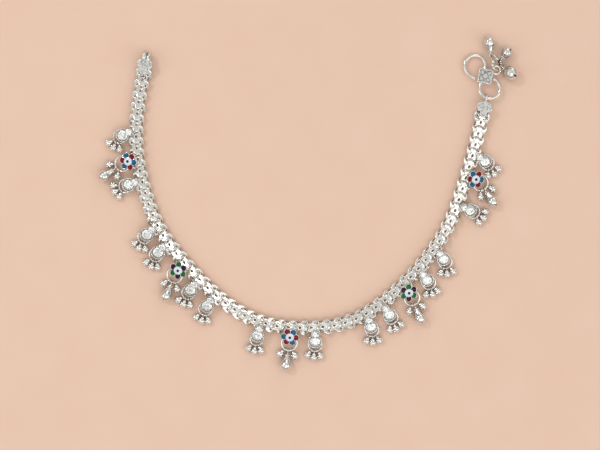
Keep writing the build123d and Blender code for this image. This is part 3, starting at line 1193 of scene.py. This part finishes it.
@dataclass
class BellTrim:
    """The loose pellet in each hollow bell and the beaded collar round its neck."""

    palette: Palette
    radius: float = 0.55
    sprue: float = 0.8
    wall: float = 0.4
    gap: float = 0.03
    crest: float = 0.03
    tip: float = 0.1
    collar_r: float = 0.72
    collar_back: float = 2.6
    bead_r: float = 0.3
    beads: int = 8
    flower_bells: int = 5
    flower_bell_r: float = 2.05
    clasp_bell_rs: tuple[float, ...] = (2.1, 1.95, 2.6)

    def bells(self) -> list[tuple[str, float]]:
        """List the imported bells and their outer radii.

        Returns:
            Name and radius of each bell, those of the flowers first.
        """
        numbers = range(1, self.flower_bells + 1)
        flowers = [(f"flower_bell_{number}", self.flower_bell_r) for number in numbers]
        clasp = enumerate(self.clasp_bell_rs, start=1)
        return flowers + [(f"clasp_bell_{number}", radius) for number, radius in clasp]

    def pellet(self) -> bpy.types.Object:
        """Model one cast pellet: a ball with the flat left by its sprue.

        Returns:
            The pellet, at the origin.
        """
        deselect()
        bpy.ops.mesh.primitive_ico_sphere_add(subdivisions=3, radius=self.radius)
        made = bpy.context.object
        open_edit(made)
        bpy.ops.mesh.select_all(action="SELECT")
        bpy.ops.mesh.bisect(
            plane_co=(0, 0, self.sprue * self.radius),
            plane_no=(0, 0, 1),
            use_fill=True,
            clear_outer=True,
        )
        deselect()
        smooth(made, angle=50)
        return made

    def middle(self, bell: str) -> Vector:
        """Find the middle of a bell's round end.

        Args:
            bell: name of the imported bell.

        Returns:
            The middle, in millimetres: below the highest point of the shell.
        """
        points = node_points(bell)
        top = max(point.z for point in points)
        crest = [point for point in points if point.z > top - self.crest]
        spot = sum(crest, Vector()) / len(crest)
        low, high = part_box(bell)
        return Vector((spot.x, spot.y, (low.z + high.z) / 2 / MM))

    def collar_places(self, bell: str) -> list[Matrix]:
        """Find the places of the beads round a bell's neck.

        Args:
            bell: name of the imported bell.

        Returns:
            One matrix a bead, its Z pointing away from the neck.
        """
        middle = self.middle(bell)
        points = node_points(bell)
        reach = max((point - middle).length for point in points)
        far = [point for point in points if (point - middle).length > reach - self.tip]
        axis = (sum(far, Vector()) / len(far) - middle).normalized()
        neck = Matrix.Translation(middle + axis * (reach - self.collar_back))
        turn = axis.to_track_quat("X", "Z").to_matrix().to_4x4()
        step = 2 * math.pi / self.beads
        out = Matrix.Translation((0, 0, self.collar_r))
        return [
            neck @ turn @ Matrix.Rotation(step * count, 4, "X") @ out
            for count in range(self.beads)
        ]

    def build(self) -> None:
        """Put a pellet on the inner wall and a collar on the neck of every bell."""
        pattern, bead = self.pellet(), grain(self.bead_r)
        for bell, outer in self.bells():
            drop = outer - self.wall - self.radius - self.gap
            spot = self.middle(bell) - Vector((0, 0, drop))
            made = stamp(pattern, [Matrix.Translation(spot)], f"pellet_{bell}")
            settle(made, self.palette.turned)
            collar = stamp(bead, self.collar_places(bell), f"beaded_collar_{bell}")
            settle(collar, self.palette.wire)
        discard(pattern, bead)


@dataclass(frozen=True)
class Lamp:
    """A square soft light: its place and side in metres, and its power in watts."""

    name: str
    spot: tuple[float, float, float]
    size: float
    power: float

    def hang(self) -> None:
        """Hang the light so that it looks at the anklet."""
        data = bpy.data.lights.new(self.name, "AREA")
        data.size = self.size
        data.energy = self.power
        made = bpy.data.objects.new(self.name, data)
        made.location = self.spot
        made.rotation_euler = (-Vector(self.spot)).to_track_quat("-Z", "Y").to_euler()
        bpy.context.scene.collection.objects.link(made)


@dataclass
class Studio:
    """Pale floor, soft lights and the camera that looks straight down."""

    view_x: float = -3.27
    view_y: float = -7.77
    view_width: float = 222.0
    lens: float = 85.0
    sensor: float = 36.0
    clip_end: float = 20.0
    floor_size: float = 8.0
    horizon: str = "#3A3835"
    zenith: str = "#FFFFFF"
    zenith_height: float = 0.45
    sky_strength: float = 0.64
    lamps: tuple[Lamp, ...] = (
        Lamp("overhead", (0.12, -0.5, 0.9), 0.65, 1.4),
        Lamp("key", (-0.6, 0.5, 0.8), 0.12, 1.6),
        Lamp("left_card", (-1.0, -0.2, 0.6), 0.6, 1.3),
        Lamp("back_card", (0.3, 1.0, 0.4), 0.6, 1.0),
        Lamp("right_card", (0.9, -0.5, 0.6), 0.6, 1.6),
    )

    def floor(self) -> None:
        """Lay the sheet of pale paper that the anklet lies on."""
        deselect()
        bpy.ops.mesh.primitive_plane_add(size=self.floor_size, location=(0, 0, 0))
        sheet = bpy.context.object
        sheet.name = "studio_floor"
        sheet.data.materials.append(Paper().material())

    def sky(self) -> None:
        """Fill the room with soft light, brighter above than at the horizon."""
        world = bpy.data.worlds.new("studio")
        world.use_nodes = True
        tree = world.node_tree
        tree.nodes.clear()
        place = add_node(tree, "ShaderNodeTexCoord").outputs["Generated"]
        height = add_node(tree, "ShaderNodeSeparateXYZ", inputs={0: place})
        rise = add_node(
            tree,
            "ShaderNodeMapRange",
            {"interpolation_type": "SMOOTHSTEP"},
            {"Value": height.outputs["Z"], "From Min": 0.0, "From Max": self.zenith_height},
        )
        tone = blend(tree, rise.outputs["Result"], linear(self.horizon), linear(self.zenith))
        glow = add_node(
            tree, "ShaderNodeBackground", inputs={"Color": tone, "Strength": self.sky_strength}
        )
        add_node(tree, "ShaderNodeOutputWorld", inputs={"Surface": glow.outputs["Background"]})
        bpy.context.scene.world = world

    def camera(self) -> None:
        """Hang the camera straight above, with the open ends of the anklet at the top."""
        data = bpy.data.cameras.new("camera")
        data.lens = self.lens
        data.sensor_width = self.sensor
        data.clip_end = self.clip_end
        made = bpy.data.objects.new("camera", data)
        height = self.lens / self.sensor * self.view_width
        made.location = (self.view_x * MM, self.view_y * MM, height * MM)
        bpy.context.scene.collection.objects.link(made)
        bpy.context.scene.camera = made

    def build(self) -> None:
        """Set up the floor, the lights and the camera."""
        bpy.context.scene.view_settings.view_transform = "Standard"
        self.floor()
        for lamp in self.lamps:
            lamp.hang()
        self.sky()
        self.camera()


def main() -> None:
    """Build the sub-assemblies in order."""
    logging.basicConfig(level=logging.INFO, format="%(name)s %(message)s")
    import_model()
    palette = Palette()
    assemblies = (
        ChainBand(palette),
        HookClasp(palette),
        PlainPendants(palette),
        FlowerPendants(palette),
        Granulation(palette),
        BellTrim(palette),
        Studio(),
    )
    for assembly in assemblies:
        log.info("building %s", type(assembly).__name__)
        assembly.build()


if __name__ == "__main__":
    main()
